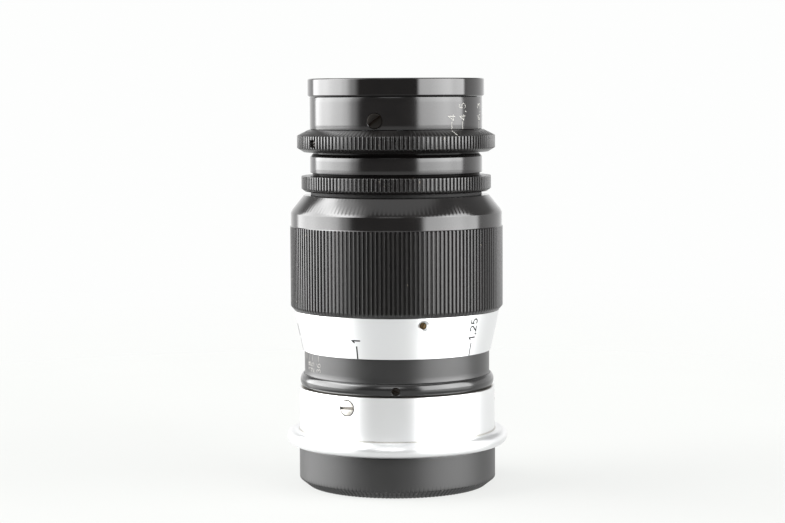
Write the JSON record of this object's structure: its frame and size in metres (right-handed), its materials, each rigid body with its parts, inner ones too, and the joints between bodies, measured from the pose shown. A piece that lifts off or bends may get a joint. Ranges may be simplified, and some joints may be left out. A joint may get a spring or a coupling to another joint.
{
  "type": "prime camera lens",
  "caption": "Long-focus rangefinder camera lens with a knurled focusing barrel, a turning aperture ring, a bladed iris, a screw mount and a rear cap.",
  "frame": {"origin": "centre of the rear cap's flat base, on the optical axis", "axes": "+Z along the optical axis towards the front of the lens; -Y is the side with the distance index screw row facing the viewer"},
  "size_m": [0.0456, 0.0456, 0.0837],
  "materials": {
    "black_lacquer": "gloss black lacquer",
    "satin_black": "satin black lacquer with filled white scale",
    "chrome_plate": "satin chrome plate on brass",
    "brass": "turned",
    "screw_steel": "turned, slightly tarnished",
    "matt_black": "matt anti-reflection black",
    "blade_steel": "blued spring steel",
    "cap_black": "satin black",
    "optical_glass": "polished, uncoated"
  },
  "bodies": {
    "mount": {"mount_ring": "chrome_plate", "depth_scale_ring": "satin_black", "fixed_helicoid": "brass", "infinity_stop_lug": "brass", "mount_screw_1": "screw_steel", "mount_screw_2": "screw_steel", "mount_screw_3": "screw_steel", "depth_ring_set_screw_1": "screw_steel", "depth_ring_set_screw_2": "screw_steel", "depth_ring_set_screw_3": "screw_steel", "sleeve_guide_pin": "screw_steel"},
    "rear_cap": {"rear_cap": "cap_black"},
    "coupling_sleeve": {"coupling_sleeve": "brass"},
    "focus_slide": {"light_baffle": "matt_black"},
    "focus_barrel": {"focus_barrel": "black_lacquer", "distance_scale_ring": "chrome_plate", "moving_helicoid": "brass", "coupling_drive_tube": "brass", "scale_ring_set_screw_1": "brass", "scale_ring_set_screw_2": "brass", "scale_ring_set_screw_3": "brass", "head_shim": "satin_black", "head_collar": "black_lacquer", "head_tube": "black_lacquer", "front_barrel": "black_lacquer", "front_rim": "black_lacquer", "front_retaining_ring": "matt_black", "iris_base_plate": "matt_black", "second_glass_ring": "matt_black", "rear_cell": "matt_black", "rear_glass_ring": "matt_black", "barrel_screw_1": "screw_steel", "barrel_screw_2": "screw_steel", "barrel_screw_3": "screw_steel", "head_lock_screw": "screw_steel", "front_glass": "optical_glass", "second_glass": "optical_glass", "rear_glass_inner": "optical_glass", "rear_glass_outer": "optical_glass"},
    "aperture_ring": {"aperture_ring": "black_lacquer", "iris_cam_ring": "matt_black", "aperture_drive_screw": "screw_steel"},
    "iris_blade_1": {"iris_blade_1": "blade_steel"},
    "iris_blade_2": {"iris_blade_2": "blade_steel"},
    "iris_blade_3": {"iris_blade_3": "blade_steel"},
    "iris_blade_4": {"iris_blade_4": "blade_steel"},
    "iris_blade_5": {"iris_blade_5": "blade_steel"},
    "iris_blade_6": {"iris_blade_6": "blade_steel"},
    "iris_blade_7": {"iris_blade_7": "blade_steel"},
    "iris_blade_8": {"iris_blade_8": "blade_steel"},
    "iris_blade_9": {"iris_blade_9": "blade_steel"},
    "iris_blade_10": {"iris_blade_10": "blade_steel"}
  },
  "joints": [
    {"name": "rear_cap_slide", "type": "slide", "parent": "mount", "child": "rear_cap", "axis": [0, 0, -1], "range_m": [0, 0.012]},
    {"name": "focus_travel", "type": "slide", "parent": "mount", "child": "focus_slide", "axis": [0, 0, 1], "range_m": [0, 0.0101]},
    {"name": "focus_turn", "type": "hinge", "parent": "focus_slide", "child": "focus_barrel", "pos_m": [0, 0, 0.0448], "axis": [0, 0, 1], "range_deg": [0, 302]},
    {"name": "coupling_sleeve_travel", "type": "slide", "parent": "mount", "child": "coupling_sleeve", "axis": [0, 0, 1], "range_m": [0, 0.0028]},
    {"name": "aperture_turn", "type": "hinge", "parent": "focus_barrel", "child": "aperture_ring", "pos_m": [0, 0, 0.0708], "axis": [0, 0, 1], "range_deg": [0, 82.6]},
    {"name": "iris_blade_1_pivot", "type": "hinge", "parent": "focus_barrel", "child": "iris_blade_1", "pos_m": [0.0137, 0.00445, 0.0743], "axis": [0, 0, 1], "range_deg": [0, 41.4]},
    {"name": "iris_blade_2_pivot", "type": "hinge", "parent": "focus_barrel", "child": "iris_blade_2", "pos_m": [0.00846, 0.01165, 0.0743], "axis": [0, 0, 1], "range_deg": [0, 41.4]},
    {"name": "iris_blade_3_pivot", "type": "hinge", "parent": "focus_barrel", "child": "iris_blade_3", "pos_m": [0, 0.0144, 0.0743], "axis": [0, 0, 1], "range_deg": [0, 41.4]},
    {"name": "iris_blade_4_pivot", "type": "hinge", "parent": "focus_barrel", "child": "iris_blade_4", "pos_m": [-0.00846, 0.01165, 0.0743], "axis": [0, 0, 1], "range_deg": [0, 41.4]},
    {"name": "iris_blade_5_pivot", "type": "hinge", "parent": "focus_barrel", "child": "iris_blade_5", "pos_m": [-0.0137, 0.00445, 0.0743], "axis": [0, 0, 1], "range_deg": [0, 41.4]},
    {"name": "iris_blade_6_pivot", "type": "hinge", "parent": "focus_barrel", "child": "iris_blade_6", "pos_m": [-0.0137, -0.00445, 0.0743], "axis": [0, 0, 1], "range_deg": [0, 41.4]},
    {"name": "iris_blade_7_pivot", "type": "hinge", "parent": "focus_barrel", "child": "iris_blade_7", "pos_m": [-0.00846, -0.01165, 0.0743], "axis": [0, 0, 1], "range_deg": [0, 41.4]},
    {"name": "iris_blade_8_pivot", "type": "hinge", "parent": "focus_barrel", "child": "iris_blade_8", "pos_m": [0, -0.0144, 0.0743], "axis": [0, 0, 1], "range_deg": [0, 41.4]},
    {"name": "iris_blade_9_pivot", "type": "hinge", "parent": "focus_barrel", "child": "iris_blade_9", "pos_m": [0.00846, -0.01165, 0.0743], "axis": [0, 0, 1], "range_deg": [0, 41.4]},
    {"name": "iris_blade_10_pivot", "type": "hinge", "parent": "focus_barrel", "child": "iris_blade_10", "pos_m": [0.0137, -0.00445, 0.0743], "axis": [0, 0, 1], "range_deg": [0, 41.4]}
  ],
  "couplings": [
    {"joint": "focus_travel", "follows": "focus_turn", "m_per_rad": 0.0018987},
    {"joint": "coupling_sleeve_travel", "follows": "focus_turn", "m_per_rad": 0.00052856},
    {"joint": "iris_blade_1_pivot", "follows": "aperture_turn", "ratio": 0.5},
    {"joint": "iris_blade_2_pivot", "follows": "aperture_turn", "ratio": 0.5},
    {"joint": "iris_blade_3_pivot", "follows": "aperture_turn", "ratio": 0.5},
    {"joint": "iris_blade_4_pivot", "follows": "aperture_turn", "ratio": 0.5},
    {"joint": "iris_blade_5_pivot", "follows": "aperture_turn", "ratio": 0.5},
    {"joint": "iris_blade_6_pivot", "follows": "aperture_turn", "ratio": 0.5},
    {"joint": "iris_blade_7_pivot", "follows": "aperture_turn", "ratio": 0.5},
    {"joint": "iris_blade_8_pivot", "follows": "aperture_turn", "ratio": 0.5},
    {"joint": "iris_blade_9_pivot", "follows": "aperture_turn", "ratio": 0.5},
    {"joint": "iris_blade_10_pivot", "follows": "aperture_turn", "ratio": 0.5}
  ]
}
